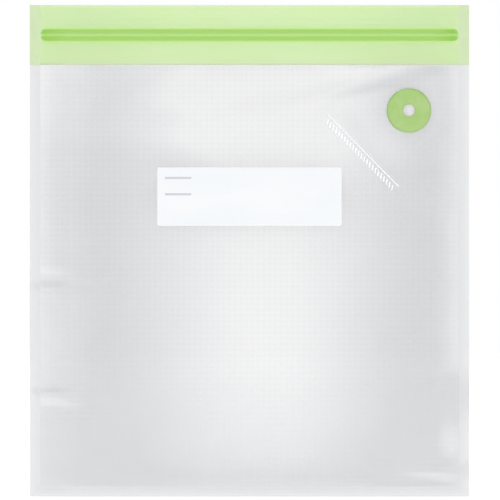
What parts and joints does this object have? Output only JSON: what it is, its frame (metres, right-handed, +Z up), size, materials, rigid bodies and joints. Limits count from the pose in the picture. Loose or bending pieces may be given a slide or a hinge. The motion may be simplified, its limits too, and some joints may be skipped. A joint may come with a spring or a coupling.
{
  "type": "reusable zip vacuum storage bag",
  "caption": "Flat reusable food bag: clear film walls sealed on three edges, tinted header with press-to-close double zip, one-way air valve and write-on label.",
  "frame": {"origin": "middle of the bottom edge, half way between the two films", "axes": "+Z up from the bottom edge to the mouth, the front face with the valve and label looks along -Y, +X to the right as the front is seen"},
  "size_m": [0.26, 0.0101, 0.291],
  "materials": {
    "clear_film": "soft satin, smooth clear film with a slight blue-grey cast",
    "embossed_film": "satin, embossed all over with a fine grid of air channels",
    "sealed_film": "satin, both films fused flat",
    "tinted_film": "satin, translucent pale green film",
    "zip_plastic": "glossy, translucent green extrusion",
    "valve_green": "matt moulded plastic",
    "valve_clear": "soft clear silicone and moulded polypropylene",
    "adhesive": "tacky foam-free adhesive film",
    "label_stock": "matt white printed film"
  },
  "bodies": {
    "seal_frame": {"heat_seal": "sealed_film"},
    "front_wall": {"front_film": "clear_film", "front_header_band": "tinted_film", "female_zip_track": "zip_plastic", "valve_adhesive_ring": "adhesive", "valve_ring": "valve_green", "valve_seat": "valve_clear", "valve_filter": "valve_clear"},
    "back_wall": {"back_film": "embossed_film", "back_header_band": "tinted_film", "male_zip_track": "zip_plastic"},
    "front_middle": {"front_film_panel": "clear_film", "writing_label": "label_stock"},
    "back_middle": {"back_film_panel": "embossed_film"},
    "valve_flap": {"valve_membrane": "valve_clear"}
  },
  "joints": [
    {"name": "front_wall_open", "type": "hinge", "parent": "seal_frame", "child": "front_wall", "pos_m": [0, 0, 0.006], "axis": [1, 0, 0], "range_deg": [0, 4.5], "stiffness_Nm_per_rad": 0.4},
    {"name": "back_wall_open", "type": "hinge", "parent": "seal_frame", "child": "back_wall", "pos_m": [0, 0, 0.006], "axis": [1, 0, 0], "range_deg": [-4.5, 0], "stiffness_Nm_per_rad": 0.4},
    {"name": "front_fill", "type": "slide", "parent": "front_wall", "child": "front_middle", "axis": [0, -1, 0], "range_m": [0, 0.014], "stiffness_N_per_m": 60},
    {"name": "back_fill", "type": "slide", "parent": "back_wall", "child": "back_middle", "axis": [0, 1, 0], "range_m": [0, 0.014], "stiffness_N_per_m": 60},
    {"name": "valve_lift", "type": "slide", "parent": "front_wall", "child": "valve_flap", "axis": [0, -1, 0], "range_m": [0, 0.0004], "stiffness_N_per_m": 20}
  ],
  "couplings": [
    {"joint": "back_wall_open", "follows": "front_wall_open", "ratio": -1},
    {"joint": "back_fill", "follows": "front_fill", "ratio": 1}
  ]
}
